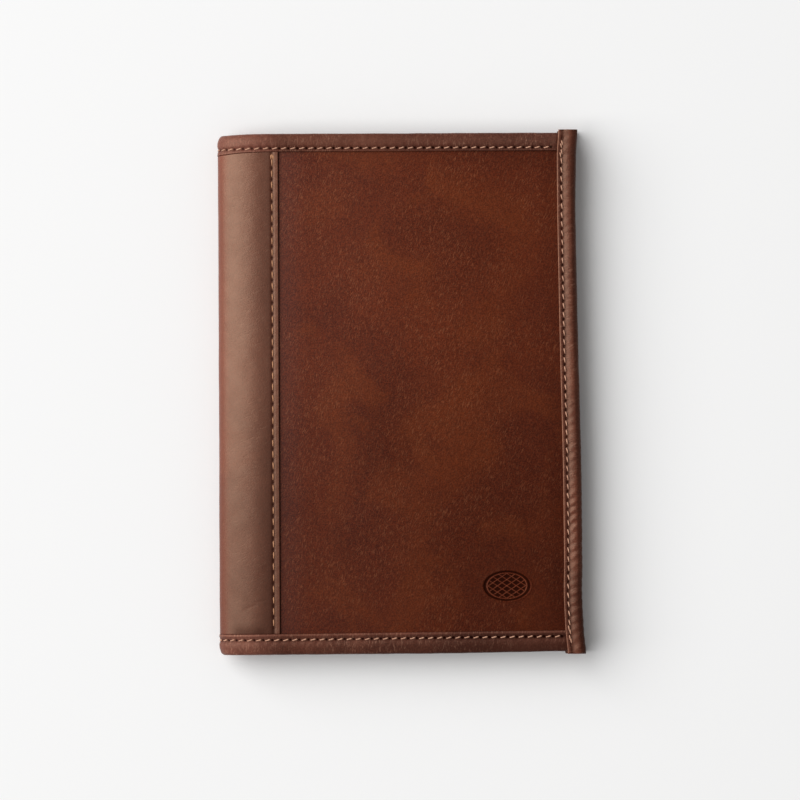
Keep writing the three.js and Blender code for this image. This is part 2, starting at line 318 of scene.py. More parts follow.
def leather_surface(marked):
    """Relief and tint of the outer leather, with or without the pressed mark."""
    def surface(s, y):
        x = s - TO_S
        flat = smooth(BAND_END_X, BAND_END_X + 12, x)
        d = LEATHER[0] + flat * (0.07 * ripple(s, y, 34, 3) + 0.02 * ripple(s, y, 9, 4))
        d = d + SEAM_PRESS * bump(x - BAND_END_X, 1.6)
        d = d + SEAM_PRESS * bump(HEAD_EDGE - HEAD_LEG - y, 1.4)
        d = d + SEAM_PRESS * bump(y - TAIL_EDGE - TAIL_LEG, 1.4)
        # Painted shade: it is darker towards the fore edge and the tail, where the lamp's light falls off,
        # and beside the fore-edge strip, the spine band and the head binding, which shade it. It is also
        # darker in one soft spot.
        painted_shade_and_spot = (0.22 * smooth(60, 150, x) + 0.29 * smooth(40, -90, y)
                   + 0.10 * smooth(10, 1, fore_edge(y) - STRIP_LEG - x) + 0.12 * smooth(6, 0, x - BAND_END_X)
                   + 0.08 * smooth(8, 0, HEAD_EDGE - HEAD_LEG - y)
                   + 0.14 * bump(np.hypot(x - 72, (y + 18) / 1.5), 15))
        if marked:
            press, dark = mark(x - MARK_X, y - MARK_Y)
            return d + press, np.where(np.abs(dark) > 0.01, dark, painted_shade_and_spot)
        return d, painted_shade_and_spot
    return surface


def mark(x, y):
    """A pressed oval filled with diamonds between fine ridges: depth and darkness."""
    out = np.hypot(x / (MARK_WIDTH / 2), y / (MARK_HEIGHT / 2))  # 1 on the oval's edge
    inside = smooth(1.02, 0.97, out)
    pitch, wide = 2.7, 1.5  # of the diamonds: their spacing, and their width for each mm of height
    ridge = 0
    for a in (x / wide + y, x / wide - y):
        ridge = np.maximum(ridge, bump((a + pitch / 2) % pitch - pitch / 2, 0.26))
    ring = bump(out - 0.84, 0.035)
    ridge = np.maximum(ridge * smooth(0.84, 0.80, out), ring)
    rim = 0.12 * bump(out - 1.05, 0.05)
    return 0.50 * inside - 0.34 * inside * ridge - rim, inside * (0.92 - 1.15 * ridge)


def band_surface(s, y):
    """Relief and tint of the spine band."""
    x = s - TO_S
    across = x - BAND_SEAM_X
    d = BAND[0] + BAND_VALLEY * bump(across, 0.7) + 0.10 * smooth(-10, -0.6, across) * smooth(0.8, 0, across)
    d = d + 0.30 * bump(across, 0.6) * holes(y, BAND_PITCH, 0.55)
    d = d - 0.03 * pillows(y, BAND_PITCH) * bump(across - 1.5, 1.0)
    d = d + rounding(BAND_END_X - x, 0.55)
    d = d + rounding(HEAD_EDGE - HEAD_LEG - y, 0.3) + rounding(y - TAIL_EDGE - TAIL_LEG, 0.3)
    wrapped = smooth(26, 18, x)
    d = d + 0.05 * ripple(s, y, 26, 11) * wrapped + 0.015 * ripple(s, y, 6, 12) * wrapped
    # Two slanting creases near the tail.
    for x0, y0, x1, y1, deep in ((9.5, -95.0, 17.0, -90.6, 0.12), (14.0, -91.4, 21.5, -89.3, 0.08)):
        length = math.hypot(x1 - x0, y1 - y0)
        along = ((x - x0) * (x1 - x0) + (y - y0) * (y1 - y0)) / length
        off = ((y - y0) * (x1 - x0) - (x - x0) * (y1 - y0)) / length - 0.5 * np.sin(along * 0.5)
        d = d + deep * bump(off, 0.28) * smooth(0, 2, along) * smooth(length, length - 2, along)
    # The cut edge is painted dark, and the shade on its side that faces away from the lamp is painted in
    # with it.
    painted = 0.95 * smooth(0.75, 0.1, BAND_END_X - x)
    # Painted shade in the needle holes.
    dark = HOLE_DARK * bump(across, 0.55) * holes(y, BAND_PITCH, 0.70)
    # Painted shade: it is darker beside its seam, where it goes under the tail binding, and towards the
    # tail, where the lamp's light falls off. It is also darker across its flat beyond the spine's curve.
    shade = (0.08 * bump(across + 1.4, 1.2) + 0.18 * bump(across, 0.8)
             + 0.30 * smooth(13, 22, x) * smooth(1, 0, across) + 0.26 * smooth(30, -90, y)
             + 0.32 * smooth(6, 0, y - TAIL_EDGE - TAIL_LEG) * smooth(3, 9, x) * smooth(22, 16, x))
    return np.minimum(d, BAND[1] - 0.03), np.maximum(np.maximum(painted, dark), shade)


# ---- folded bindings ----

def folded(leg, inner_leg, seam, fold):
    """A strip folded over an edge, in section. Returns, for its outer and its inner path, the distance q in
    from the folded edge and the depth, with a marker that is 1 on the outer face down to the middle of the
    fold, -1 on the inner leg's face and 0 elsewhere."""
    leg_q = spread(leg, 0.06, leg - 0.3, 0.15, leg - 0.9, 0.22, seam + 0.3, 0.16, seam - 0.5, 0.3, fold)
    q_back = spread(FOLD_RADIUS, 0.7, inner_leg)[1:]
    turn, back_turn = np.radians(np.linspace(0, 90, 14))[1:], np.radians(np.linspace(0, 90, 9))[1:]
    r, span, thin, back = FOLD_RADIUS, INNER_LEG[1], LEG[1], FOLD_RADIUS - INNER_LEG[1] + INNER_LEG[0]
    outer = [(leg_q, 0 * leg_q), (fold * (1 - np.sin(turn)), r * (1 - np.cos(turn))),
             (r - r * np.cos(back_turn), span - r + r * np.sin(back_turn)), (q_back, span + 0 * q_back)]
    inner = [(leg_q, thin + 0 * leg_q),
             (fold - (fold - thin) * np.sin(turn), r - (r - thin) * np.cos(turn)),
             (r - (r - thin + (back - r + thin) * np.sin(back_turn)) * np.cos(back_turn),
              span - r + back * np.sin(back_turn)),
             (q_back, INNER_LEG[0] + 0 * q_back)]
    face = np.concatenate([1 + 0 * leg_q, 1 + 0 * turn, 0 * back_turn, -1 + 0 * q_back])
    outer, inner = ([np.concatenate(c) for c in zip(*path)] for path in (outer, inner))
    q = np.concatenate([outer[0], inner[0][::-1]])[None, :]
    d = np.concatenate([outer[1], inner[1][::-1]])[None, :]
    face = np.concatenate([face, 0 * face[::-1]])[None, :]
    return q, d, face


def edge_top(q, s, at_head):
    """Relief and darkness of the outer face of the head or tail binding. The darkness is painted shade: in
    the needle holes, along the seam's valley, and at the tail in the groove behind the turned edge.
    """
    leg, seam, seed = (HEAD_LEG, HEAD_SEAM, 21) if at_head else (TAIL_LEG, TAIL_SEAM, 22)
    across = q - seam
    d = VALLEY * bump(across, np.where(across < 0, 1.0, 0.7)) + rounding(leg - q, 0.35)
    d = d + HOLE_DEPTH * bump(across, 0.6) * holes(s, EDGE_PITCH, 0.5)
    d = d - 0.06 * pillows(s, EDGE_PITCH) * bump(across + 1.4, 0.9) + 0.06 * smooth(0, 2, q)
    d = d + 0.06 * ripple(s, q, 11, seed) * smooth(0.5, 2.0, -across)
    # Painted shade in the needle holes.
    dark = HOLE_DARK * bump(across, 0.55) * holes(s, EDGE_PITCH, 0.62)
    if at_head:
        # Painted shade along the seam's valley.
        return d, np.maximum(dark, 0.22 * bump(across, 0.9))
    # The cut edge is turned under, which leaves a low ridge along it, with painted shade in the groove
    # behind it.
    ridge = bump(q - (leg - 1.5), 0.4)
    return d + 0.16 * ridge, np.maximum(dark, 0.26 * bump(across, 0.9) + 0.10 * ridge)


def tongue(s):
    """How much farther the head binding's leg reaches down where it turns round the spine."""
    return 0.35 * smooth(30, 10, s) + 0.35 * smooth(14, 6, s) + 0.6 * bump(s, 3.5)


def edge_binding(name, side, at_head, look, **more):
    """Half of the head or tail binding, folded over the edge of the cover and sewn through."""
    leg, seam, edge = (HEAD_LEG, HEAD_SEAM, HEAD_EDGE) if at_head else (TAIL_LEG, TAIL_SEAM, TAIL_EDGE)
    q, depth, face = folded(leg, HIDDEN_LEG, seam, EDGE_FOLD)
    s = spread(0, FIRST_STEP, FIRST_STEP, 0.36, fore_edge(edge) - EDGE_INSET + TO_S)[:, None]
    x = s - TO_S
    top, dark = edge_top(q, s, at_head)
    # Its end is thinned under the fore-edge binding.
    near_strip = smooth(-1.3, 0.1, x - (fore_edge(edge) - STRIP_LEG))
    outside = np.maximum(depth + top, 0)
    outside = outside + (np.maximum(outside, 0.62) - outside) * near_strip
    inside = INNER_LEG[1] - INNER_VALLEY * bump(q - seam, 0.6)
    inside = inside - 0.15 * bump(q - seam, 0.5) * holes(s, EDGE_PITCH)
    d = np.where(face > 0, outside, np.where(face < 0, inside - 0.45 * near_strip, depth))
    # Round the fold the strip is a little uneven.
    swell = 0.05 * ripple(s, 3 * depth, 15, 23) + 0.02 * ripple(s, depth, 5, 24)
    proud = -0.05 if at_head else 0.35 + 0.40 * bump(x - 95, 50)
    q_out = q + (swell - proud) * smooth(FOLD_RADIUS, 1, q)
    # Painted shade in the needle holes on the inside, and a little round the back of the fold.
    inside_dark = 0.9 * bump(q - seam, 0.4) * holes(s, EDGE_PITCH)
    tint = np.where(face > 0, dark, np.where(face < 0, inside_dark, 0.05))
    if at_head:
        q_out = q_out + tongue(s) * smooth(seam + 0.3, leg, q) * (depth < 1.5)
        # Painted light: the head binding is darker away from the spine than near it, standing in for the
        # lamp's highlight there, and a little less dark towards the fore edge. Its inner edge gets painted
        # shade.
        tint = tint + 0.30 * smooth(17, 30, x) - 0.08 * smooth(90, 130, x)
        tint = np.where((face > 0) & (q > leg - 0.22), 0.45, tint)
    else:
        # The tail binding is darker overall and near the spine band. Painted shade darkens it much more
        # towards the fore edge, where the lamp's light falls off, and on its fold, which faces away from the
        # lamp; a painted highlight lightens its turned edge.
        tint = tint + 0.12 + 0.10 * bump(x - 24, 10) + 0.42 * smooth(30, 135, x)
        tint = (tint + 0.15 * smooth(5, 1.5, q) * smooth(4, 10, x)
                - 0.30 * bump(q - (leg - 0.5), 0.4) * (face > 0))
    y = edge - q_out if at_head else edge + q_out
    return loft(name, side, s, y, d, look, tint=tint, ladder=True, **more)


def strip_top(q, y, over):
    """Relief and tint of the outer face of a fore-edge strip; the tint holds painted shade and a painted
    highlight.
    """
    across = q - STRIP_SEAM
    valley = (VALLEY + 0.02) * bump(across, np.where(across < 0, 1.55, 0.65))
    d = 0.16 * (1 - over) + valley * (1 - 0.3 * over)
    d = d + rounding(STRIP_LEG - q, 0.3)
    d = d + HOLE_DEPTH * bump(across, 0.6) * holes(y, EDGE_PITCH, 0.5)
    strength = (0.03 + 0.09 * smooth(10, -60, y)) * (1 + 0.5 * ripple(q, y, 16, 36))
    slanted = pillows(y + 0.5 * (q - STRIP_SEAM) + 0.5 * ripple(q, y, 12, 35), EDGE_PITCH)
    d = d + strength * (1 - slanted * smooth(-0.3, -1.2, across) * smooth(0.3, 2, q))
    d = d + 0.05 * ripple(q, y, 14, 31) * smooth(0, 2, q)
    # Painted shade in the needle holes.
    dark = HOLE_DARK * bump(across, 0.65) * holes(y, EDGE_PITCH, 0.75)
    # Painted shade: darker along the seam's valley, more so towards the tail, on the fold where it turns
    # away from the lamp, and towards the tail end, where the lamp's light falls off.
    painted_strip_shade = (0.3 + 0.15 * smooth(0, -70, y)) * bump(across, 0.9) + 0.55 * smooth(2.5, 1.5, q)
    painted_strip_shade = painted_strip_shade + smooth(-60, -100, y) * (0.16 + 0.25 * smooth(4.5, 2.0, q) * smooth(1.5, 2.5, q))
    # The raw inner edge is lighter: partly the cut leather's own colour, partly a painted highlight where
    # its bevel faces the lamp, less of it towards the tail.
    raw = -0.75 + 0.35 * smooth(-40, -95, y)
    return d, np.where(q > STRIP_LEG - 0.30, raw, np.maximum(dark, painted_strip_shade))


def fore_edge_binding(name, side, look, **more):
    """A strip folded over a cover's fore edge, cut raw at both ends."""
    q, depth, face = folded(STRIP_LEG, HIDDEN_LEG, STRIP_SEAM, STRIP_FOLD)
    y = spread(STRIP_TAIL, 0.12, STRIP_TAIL + 0.24, 0.36, STRIP_HEAD - 0.24, 0.12, STRIP_HEAD)[:, None]
    # Where it laps over the other bindings its leg is thinned, and the cut ends are a little rounded.
    over = np.maximum(smooth(HEAD_EDGE - HEAD_LEG - 2, HEAD_EDGE - HEAD_LEG, y),
                      smooth(TAIL_EDGE + TAIL_LEG + 3.5, TAIL_EDGE + TAIL_LEG + 1.5, y))
    ends = np.minimum(y - STRIP_TAIL, STRIP_HEAD - y)
    top, tint = strip_top(q, y, over)
    inside = INNER_LEG[1] - INNER_VALLEY * bump(q - STRIP_SEAM, 0.6) * (1 - over)
    d = np.where(face > 0, np.maximum(depth + top + 0.6 * rounding(ends, 0.3), 0),
                 np.where(face < 0, inside, depth))
    d = np.where((depth == LEG[1]) & (q >= STRIP_FOLD), LEG[1] - 0.4 * over, d)
    d = np.where((depth == INNER_LEG[0]) & (q > FOLD_RADIUS), INNER_LEG[0] + 0.3 * over, d)
    swell = 0.05 * ripple(y, 3 * depth, 17, 33)
    crush = 0.10 * (0.5 + 0.5 * pillows(y - 0.8, EDGE_PITCH)) * smooth(10, -60, y)
    proud = 0.12 + 0.40 * smooth(80, 100, y)
    q_out = q + (swell - proud - crush * bump(q - 0.2, 1.0)) * smooth(FOLD_RADIUS, 1, q)
    # The hidden leg is wider at the tail end.
    wider = 1 + 0.40 * smooth(9, 1, y - STRIP_TAIL)
    q_out = np.where((depth > 4) & (q > FOLD_RADIUS), FOLD_RADIUS + (q_out - FOLD_RADIUS) * wider, q_out)
    # Painted shade in the needle holes on the inside, and round the back of the fold, which faces away from
    # the lamp.
    inside_dark = 0.9 * bump(q - STRIP_SEAM, 0.4) * holes(y, EDGE_PITCH)
    tint = np.where(face > 0, tint, np.where(face < 0, inside_dark, 0.45))
    tint = np.where((ends < 0.1) & (face >= 0), -0.35, tint)
    s = fore_edge(y) - q_out + TO_S
    return loft(name, side, s, y, d, look, tint=tint, bends=False, square=True, ladder=True, **more)


# ---- stitches ----

def sew(name, side, starts, ends, deep, look, bends=True, square=False, inner=False, stands_for=()):
    """Stitches of twisted thread, each from one needle hole to the next. starts and ends hold s and y, deep
    is the depth of the middle of each stitch, and inner turns them over to the inside of the cover."""
    starts, ends = np.array(starts, float), np.array(ends, float)
    starts[:, 0] *= SIDES[side]
    ends[:, 0] *= SIDES[side]
    t = np.linspace(0, 1, 13)[None, :, None]
    turn = np.linspace(0, 2 * math.pi, 12, endpoint=False)[None, None, :]
    way = (ends - starts)[:, None, None, :]
    middle = starts[:, None, None, :] + way * t[..., None]
    way = way / np.linalg.norm(way, axis=-1, keepdims=True)
    bow = np.abs(2 * t - 1)
    radius = THREAD_RADIUS * (1 - 0.45 * bow ** 4) * (0.87 + 0.13 * np.cos(2 * turn - 9.5 * t))
    down = -1 if inner else 1
    s = middle[..., 0] - way[..., 1] * radius * np.cos(turn)
    y = middle[..., 1] + way[..., 0] * radius * np.cos(turn)
    d = np.reshape(deep, (-1, 1, 1)) + down * (0.75 * bow ** 5 - radius * np.sin(turn))
    s, y, d = np.broadcast_arrays(s, y, d)
    count, rings, size = s.shape
    n = np.arange(count)[:, None, None] * rings * size
    i, j = np.arange(rings - 1)[None, :, None] * size, np.arange(size)[None, None, :]
    k = (j + 1) % size
    faces = np.stack([n + i + j, n + i + k, n + i + size + k, n + i + size + j], -1).reshape(-1, 4)
    points = place(s, y, d, square)
    inside_out = turned_in(points - points.mean((1, 2), keepdims=True), faces)
    faces = faces.tolist()
    for first in range(0, count * rings * size, rings * size):
        last = first + (rings - 1) * size
        faces += [list(range(first, first + size))[::-1], list(range(last, last + size))]
    if inside_out:
        faces = [face[::-1] for face in faces]
    pattern = np.stack([s, y, d], -1) * MM
    material, slot = look
    piece = mesh(name, points, faces, pattern, np.zeros(s.size), material)
    return attach(piece, side, bends, stands_for)


def run(first, last, pitch):
    """Middles of the stitches of a seam whose needle holes lie at whole multiples of the pitch."""
    k = np.arange(math.ceil(first / pitch - 1e-6), math.floor(last / pitch + 1e-6))
    return (k + 0.5) * pitch


INNER_THREAD = INNER_LEG[1] - 0.22  # depth of the middle of the stitches on the inside


def edge_seam(name, side, at_head, look, **more):
    """Half of the head or tail seam, outside and inside."""
    edge = HEAD_EDGE if at_head else TAIL_EDGE
    middles = run(0, fore_edge(edge) - STRIP_LEG + TO_S - 0.4, EDGE_PITCH)
    wobble = np.random.default_rng(41 + at_head).normal(0, 0.05, (2, len(middles)))
    half = STITCH * EDGE_PITCH / 2
    line = HEAD_EDGE - HEAD_SEAM if at_head else TAIL_EDGE + TAIL_SEAM
    lean = SLANT * SIDES[side]
    starts = np.stack([middles - half, line - lean + wobble[0]], -1)
    ends = np.stack([middles + half, line + lean + wobble[1]], -1)
    sew(name, side, starts, ends, VALLEY - THREAD_REST, look, **more)
    sew(name + "_inside", side, starts, ends, INNER_THREAD, look, inner=True)


# ---- materials ----

class Paint:
    """A procedural material, laid out in the flat pattern of the cover."""

    def __init__(self, name):
        self.material = bpy.data.materials.new(name)
        self.material.use_nodes = True
        self.tree = self.material.node_tree
        self.shader = self.tree.nodes["Principled BSDF"]
        self.tint = self.read("tint", "Fac")
        self.mm = self.vector("SCALE", self.read("pattern", "Vector"), Scale=1 / MM)

    def node(self, kind, inputs, **settings):
        node = self.tree.nodes.new("ShaderNode" + kind)
        for key, value in settings.items():
            setattr(node, key, value)
        for key, value in inputs.items():
            self.put(node.inputs[key], value)
        return node

    def put(self, socket, value):
        if isinstance(value, bpy.types.NodeSocket):
            self.tree.links.new(value, socket)
        else:
            socket.default_value = value

    def read(self, label, output):
        return self.node("Attribute", {}, attribute_name=label).outputs[output]

    def vector(self, operation, a, b=None, **inputs):
        inputs[0] = a
        if b is not None:
            inputs[1] = b
        return self.node("VectorMath", inputs, operation=operation).outputs[0]

    def math(self, operation, a, b=0.0):
        return self.node("Math", {0: a, 1: b}, operation=operation).outputs[0]

    def remap(self, value, low, high, to_low=0.0, to_high=1.0, kind="SMOOTHSTEP"):
        return self.node("MapRange", {"Value": value, "From Min": low, "From Max": high, "To Min": to_low,
                                      "To Max": to_high}, interpolation_type=kind).outputs["Result"]

    def noise(self, size, detail=2.0, roughness=0.5, distortion=0.0, at=None, color=False):
        node = self.node("TexNoise", {"Vector": at or self.mm, "Scale": 1 / size, "Detail": detail,
                                      "Roughness": roughness, "Distortion": distortion})
        return node.outputs["Color" if color else "Fac"]

    def cells(self, size, at=None, feature="F1"):
        node = self.node("TexVoronoi", {"Vector": at or self.mm, "Scale": 1 / size}, feature=feature)
        return node.outputs["Distance"]

    def slanted(self, angle, across, along):
        """The pattern stretched along a direction that leans right of the y axis by this many degrees."""
        turned = self.node("VectorRotate", {"Vector": self.mm, "Angle": math.radians(angle)},
                           rotation_type="Z_AXIS").outputs[0]
        wander = self.vector("SCALE", self.vector("SUBTRACT", self.noise(5, 2, color=True), (0.5, 0.5, 0.5)),
                             Scale=2.2)
        return self.vector("MULTIPLY", self.vector("ADD", turned, wander), (1 / across, 1 / along, 1.0))

    def mix(self, factor, a, b, blend="MIX"):
        node = self.node("Mix", {0: factor, 6: a, 7: b}, data_type="RGBA", blend_type=blend)
        return node.outputs[2]

    def relief(self, *heights):
        """Bump from (height, millimetres) pairs, the first one lowest."""
        normal = None
        for height, depth in heights:
            inputs = {"Height": height, "Distance": depth * MM, "Strength": 1.0}
            if normal:
                inputs["Normal"] = normal
            normal = self.node("Bump", inputs).outputs[0]
        self.put(self.shader.inputs["Normal"], normal)

    def set(self, **values):
        for key, value in values.items():
            self.put(self.shader.inputs[key.replace("_", " ")], value)


def rgb(r, g, b):
    return (r, g, b, 1.0)


GRAIN_SHADE = rgb(0.40, 0.36, 0.36)
# A positive tint mixes towards the dark colour, for dark edge paint and painted shade; a negative tint
# towards the cut colour, for raw cut edges and painted highlights.
DARK_EDGE_AND_SHADE = rgb(0.012, 0.0025, 0.0015)
CUT_EDGE_AND_HIGHLIGHT = rgb(0.36, 0.155, 0.09)
SHEEN = rgb(1.0, 0.70, 0.50)


def waxed_leather(name, deep, plain, bright, crease, creases=(22, 0.55, 3.2), gloss=(0.42, 0.50),
                  shine=0.25, grain=1.0, streaks=1.0, ior=1.5, painted_sheens=()):
    """Pull-up leather: soft clouds of colour, fine pebbled grain, thin pale creases, and edges that are
    burnished dark or cut raw; the same dark and raw colours also paint shade and highlights. A painted
    sheen is painted light: a colour added near the spine, fading over a distance from it."""
    p = Paint(name)
    # Clouds, from wide to small.
    color = p.mix(p.remap(p.noise(46, 2, 0.5, 0.5), 0.36, 0.64), plain, deep)
    color = p.mix(p.remap(p.noise(36, 2, 0.5, 0.8), 0.48, 0.68), color, bright)
    color = p.mix(p.remap(p.noise(9, 2, 0.5), 0.40, 0.70, 0.0, 0.20), color, deep)
    # Fine grain, brighter on its tops and darker between them.
    fibre = p.noise(0.62, 3, 0.8)
    tops = p.mix(0.4, color, bright)
    hollows = p.mix(0.8, color, p.mix(1.0, color, GRAIN_SHADE, "MULTIPLY"))
    color = p.mix(p.remap(fibre, 0.39, 0.61, 0.0, grain, "LINEAR"), tops, hollows)
    streak = p.remap(p.noise(1.0, 2, 0.6, at=p.slanted(*creases)), 0.52, 0.72)
    streak = p.math("MULTIPLY", streak, p.remap(p.noise(30, 2), 0.38, 0.60, 0.4, 1.0))
    color = p.mix(p.math("MULTIPLY", streak, 0.40 * streaks), color, crease)
    from_spine = p.math("ABSOLUTE", p.node("SeparateXYZ", {0: p.mm}).outputs[0])
    # Painted light: the lamp's sheen near the spine, added as colour.
    for added, near, far in painted_sheens:
        color = p.mix(p.remap(from_spine, near, far, 1.0, 0.0), color, added, "ADD")
    pebble = p.cells(0.62, p.vector("ADD", p.mm, p.vector("SCALE", p.noise(1.5, 2, color=True), Scale=0.7)),
                     "SMOOTH_F1")
    pore = p.remap(p.cells(1.3), 0.10, 0.28, 1.0, 0.0)
    color = p.mix(p.math("MULTIPLY", pore, 0.3 * grain), color, deep)
    dark = p.math("MAXIMUM", p.tint, 0.0)
    raw = p.math("MAXIMUM", p.math("MULTIPLY", p.tint, -1.0), 0.0)
    # Dark edge paint and painted shade, then raw cut edges and painted highlights.
    color = p.mix(dark, color, DARK_EDGE_AND_SHADE)
    color = p.mix(p.math("MULTIPLY", raw, p.remap(p.noise(1.6, 3), 0.3, 0.7, 0.55, 1.0)), color, CUT_EDGE_AND_HIGHLIGHT)
    rough = p.math("ADD", p.remap(p.noise(7, 3, 0.55), 0.3, 0.7, *gloss), p.math("MULTIPLY", dark, 0.25))
    polish = p.math("MULTIPLY", p.math("SUBTRACT", 1.0, dark), shine)
    p.set(Base_Color=color, Roughness=rough, IOR=ior, Specular_IOR_Level=polish,
          Specular_Tint=SHEEN)
    p.relief((p.noise(4.5, 2), 0.08), (pebble, 0.035 * grain), (fibre, 0.04 * grain), (streak, -0.025),
             (pore, -0.03 * grain))
    return p.material


def suede(name, plain, deep):
    """Split leather with its short nap."""
    p = Paint(name)
    nap = p.noise(0.55, 4, 0.7)
    color = p.mix(p.remap(p.noise(14, 3), 0.35, 0.65), plain, deep)
    color = p.mix(p.remap(nap, 0.3, 0.7, 0.0, 0.5), color, deep)
    color = p.mix(p.math("MAXIMUM", p.tint, 0.0), color, rgb(0.02, 0.01, 0.006))
    p.set(Base_Color=color, Roughness=p.remap(nap, 0.3, 0.7, 0.75, 0.9), Sheen_Weight=0.2)
    p.relief((nap, 0.08), (p.noise(3, 2), 0.1))
    return p.material


def cotton(name, plain, deep):
    """Plain weave of 0.5 mm threads."""
    p = Paint(name)
    axes = p.node("SeparateXYZ", {0: p.mm})
    warp, weft = (p.math("SINE", p.math("MULTIPLY", axes.outputs[k], 2 * math.pi / 1.0)) for k in (0, 1))
    over = p.remap(p.math("MULTIPLY", warp, weft), -0.5, 0.5)
    slub = p.noise(1.2, 3, 0.6, at=p.vector("MULTIPLY", p.mm, (1.0, 0.15, 1.0)))
    color = p.mix(over, plain, deep)
    color = p.mix(p.remap(slub, 0.35, 0.7, 0.0, 0.5), color, deep)
    p.set(Base_Color=color, Roughness=p.remap(slub, 0.3, 0.7, 0.85, 0.95), Sheen_Weight=0.15)
    p.relief((over, 0.08), (slub, 0.04))
    return p.material


def card_stock(name, plain, deep):
    """Flecked card."""
    p = Paint(name)
    fleck = p.noise(0.7, 4, 0.7)
    color = p.mix(p.remap(fleck, 0.3, 0.7), plain, deep)
    color = p.mix(p.remap(p.noise(18, 3), 0.4, 0.7, 0.0, 0.5), color, plain)
    p.set(Base_Color=color, Roughness=p.remap(fleck, 0.3, 0.7, 0.62, 0.78))
    p.relief((fleck, 0.03), (p.noise(2.5, 2), 0.03))
    return p.material


def paper(name, plain, deep):
    """Leaves of uncoated paper: their edges show as fine lines in the thickness of the block."""
    p = Paint(name)
    depth = p.node("SeparateXYZ", {0: p.mm}).outputs[2]
    leaves = p.node("CombineXYZ", {"X": p.math("MULTIPLY", depth, 9.0)})
    line = p.noise(1.0, 2, 0.6, at=leaves.outputs[0])
    color = p.mix(p.remap(line, 0.35, 0.7), plain, deep)
    color = p.mix(p.remap(p.noise(0.8, 3), 0.4, 0.75, 0.0, 0.25), color, deep)
    p.set(Base_Color=color, Roughness=p.remap(line, 0.3, 0.7, 0.8, 0.92))
    p.relief((line, 0.03), (p.noise(0.5, 3), 0.02))
    return p.material


def waxed_thread(name, plain, deep):
    """Thread with fine hairs along it, darker in places."""
    p = Paint(name)
    hair = p.noise(0.22, 3, 0.7)
    color = p.mix(p.remap(hair, 0.35, 0.65), deep, plain)
    color = p.mix(p.remap(p.noise(14, 2), 0.4, 0.62, 0.0, 0.5), color, deep)
    p.set(Base_Color=color, Roughness=p.remap(hair, 0.3, 0.7, 0.5, 0.66), Sheen_Weight=0.2)
    p.relief((hair, 0.05))
    return p.material


# The panel's painted sheens paint the lamp's reflection on the leather near the spine band.
LEATHER_LOOK = (waxed_leather("cover_leather", rgb(0.094, 0.0118, 0.0042), rgb(0.130, 0.0190, 0.0054),
                              rgb(0.158, 0.0275, 0.0066), rgb(0.32, 0.105, 0.045), creases=(20, 0.42, 2.6),
                              shine=0.19, grain=1.1,
                              painted_sheens=((rgb(0.004, 0.008, 0.009), TO_S + BAND_END_X, TO_S + 40),
                                      (rgb(0.002, 0.004, 0.005), TO_S + BAND_END_X, TO_S + 110))), "leather")
# The band's painted sheen paints the lamp's light on the spine where it turns towards the lamp.
BAND_LOOK = (waxed_leather("band_leather", rgb(0.092, 0.0165, 0.0078), rgb(0.116, 0.0225, 0.0108),
                           rgb(0.134, 0.0290, 0.0140), rgb(0.24, 0.11, 0.06), creases=(70, 0.7, 3.5),
                           gloss=(0.39, 0.45), shine=0.85, ior=1.6, grain=0.6, streaks=0.4,
                           painted_sheens=((rgb(0.056, 0.010, 0.006), 5, 10),)), "band")
# The bindings' painted sheen paints the lamp's light near the spine.
BINDING_LOOK = (waxed_leather("binding_leather", rgb(0.068, 0.014, 0.009), rgb(0.128, 0.031, 0.019),
                              rgb(0.190, 0.056, 0.034), rgb(0.36, 0.17, 0.11), creases=(3, 0.5, 3.0),
                              gloss=(0.40, 0.48), shine=0.5, grain=0.8, streaks=1.5,
                              painted_sheens=((rgb(0.052, 0.022, 0.017), TO_S + 14, TO_S + 30),)), "binding")
STRIP_LOOK = (waxed_leather("strip_leather", rgb(0.085, 0.017, 0.009), rgb(0.128, 0.027, 0.014),
                            rgb(0.160, 0.041, 0.022), rgb(0.32, 0.15, 0.10), creases=(80, 0.6, 3.0),
                            gloss=(0.40, 0.47), shine=0.75, grain=0.8), "binding")
SLEEVE_LOOK = (suede("split_leather", rgb(0.16, 0.075, 0.035), rgb(0.10, 0.045, 0.022)), "sleeve")
LINING_LOOK = (cotton("lining_cotton", rgb(0.27, 0.16, 0.085), rgb(0.20, 0.115, 0.06)), "lining")
CARD_LOOK = (card_stock("notebook_card", rgb(0.026, 0.024, 0.025), rgb(0.040, 0.037, 0.038)), "card")
PAGES_LOOK = (paper("notebook_paper", rgb(0.87, 0.83, 0.73), rgb(0.72, 0.67, 0.56)), "pages")
EDGE_THREAD = (waxed_thread("edge_thread", rgb(0.66, 0.36, 0.23), rgb(0.42, 0.20, 0.12)), "thread")
BAND_THREAD = (waxed_thread("band_thread", rgb(0.58, 0.28, 0.13), rgb(0.34, 0.14, 0.06)), "thread")


# ---- the pieces of the cover ----

END_GAP = 0.06          # the spine band ends this far short of the head and tail bindings
BAND_TAIL, BAND_HEAD = TAIL_EDGE + TAIL_LEG + END_GAP, HEAD_EDGE - HEAD_LEG - END_GAP
LAYER_TAIL, LAYER_HEAD = TAIL_EDGE + EDGE_INSET, HEAD_EDGE - EDGE_INSET
LAYER_ROWS = spread(LAYER_TAIL, ROW_STEP, LAYER_HEAD)
LAYER_COLUMNS = spread(0, FIRST_STEP, FIRST_STEP, LAYER_STEP, flat_reach(0))
MARK_ROOM, MARK_STEP = 0.8, 0.16  # the mesh is finer from this far outside the pressed mark


def nodes(side, own, shared):
    """The CAD nodes that half of a piece stands for. The spine's share goes with the front half."""
    return (own, shared) if side == "front" else (own,)


